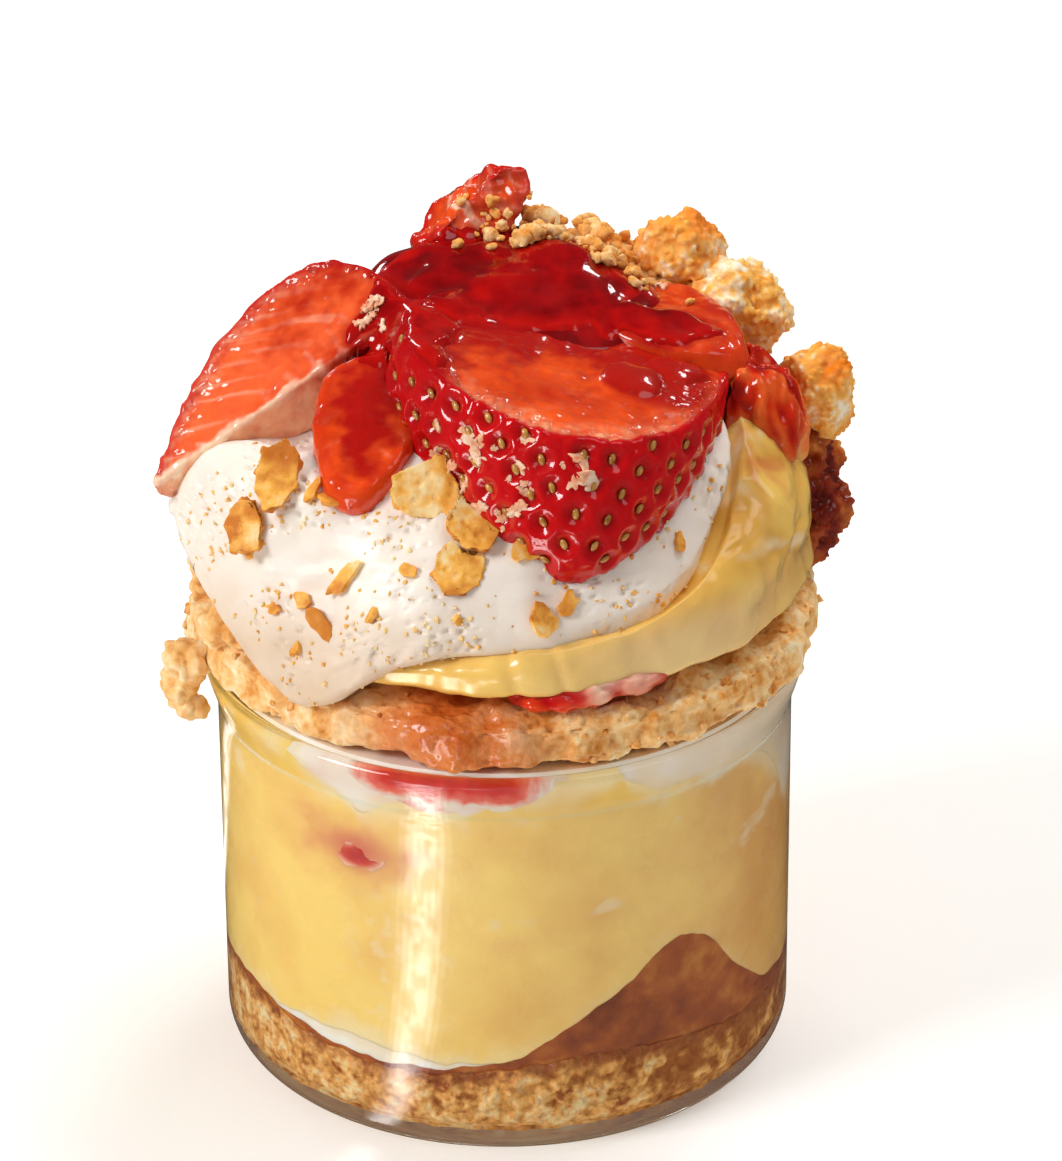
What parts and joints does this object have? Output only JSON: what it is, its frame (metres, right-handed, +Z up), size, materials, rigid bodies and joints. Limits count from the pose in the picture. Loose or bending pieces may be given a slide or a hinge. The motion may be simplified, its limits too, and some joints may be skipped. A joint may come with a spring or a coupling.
{
  "type": "jar cheesecake",
  "caption": "Glass jar of layered custard, cream and biscuit, heaped above its rim with cake, cream, cut strawberries, jam, crumble and crust shards.",
  "frame": {"origin": "middle of the jar's flat foot, on the surface it stands on", "axes": "+Z up along the jar's axis, -Y towards the front of the picture, +X to its right"},
  "size_m": [0.0954, 0.0836, 0.1198],
  "materials": {
    "glass": "clear polished glass",
    "biscuit": "porous golden biscuit crumb",
    "soaked": "wet brown soaked sponge",
    "custard": "smooth glossy custard",
    "cream": "soft whipped cream",
    "cake": "open pale cake crumb",
    "crust": "baked golden crust",
    "berry": "glazed strawberry flesh and skin",
    "jam": "dark glossy strawberry jam"
  },
  "bodies": {
    "root": {"glass_jar": "glass", "biscuit_base": "biscuit", "soaked_sponge": "soaked", "custard_fill": "custard", "custard_crown": "custard", "cream_lower": "cream", "cream_upper": "cream", "cream_dollop": "cream", "cake_ring": "cake", "crumble_back": "cake", "crust_shard_left": "crust", "crust_shard_outer": "crust", "crust_shard_upper": "crust", "crust_shard_middle": "crust", "crust_shard_front": "crust", "biscuit_chunk_back": "crust", "biscuit_chunk_pale": "crust", "biscuit_chunk_right": "crust", "strawberry_sunk": "berry", "strawberry_centre": "berry", "strawberry_left": "berry", "strawberry_tongue": "berry", "strawberry_right": "berry", "strawberry_peak": "berry", "strawberry_low": "berry", "jam_under_rim": "jam", "jam_cake_right": "jam", "berry_pulp_right": "jam", "jam_glaze": "jam"}
  },
  "joints": []
}
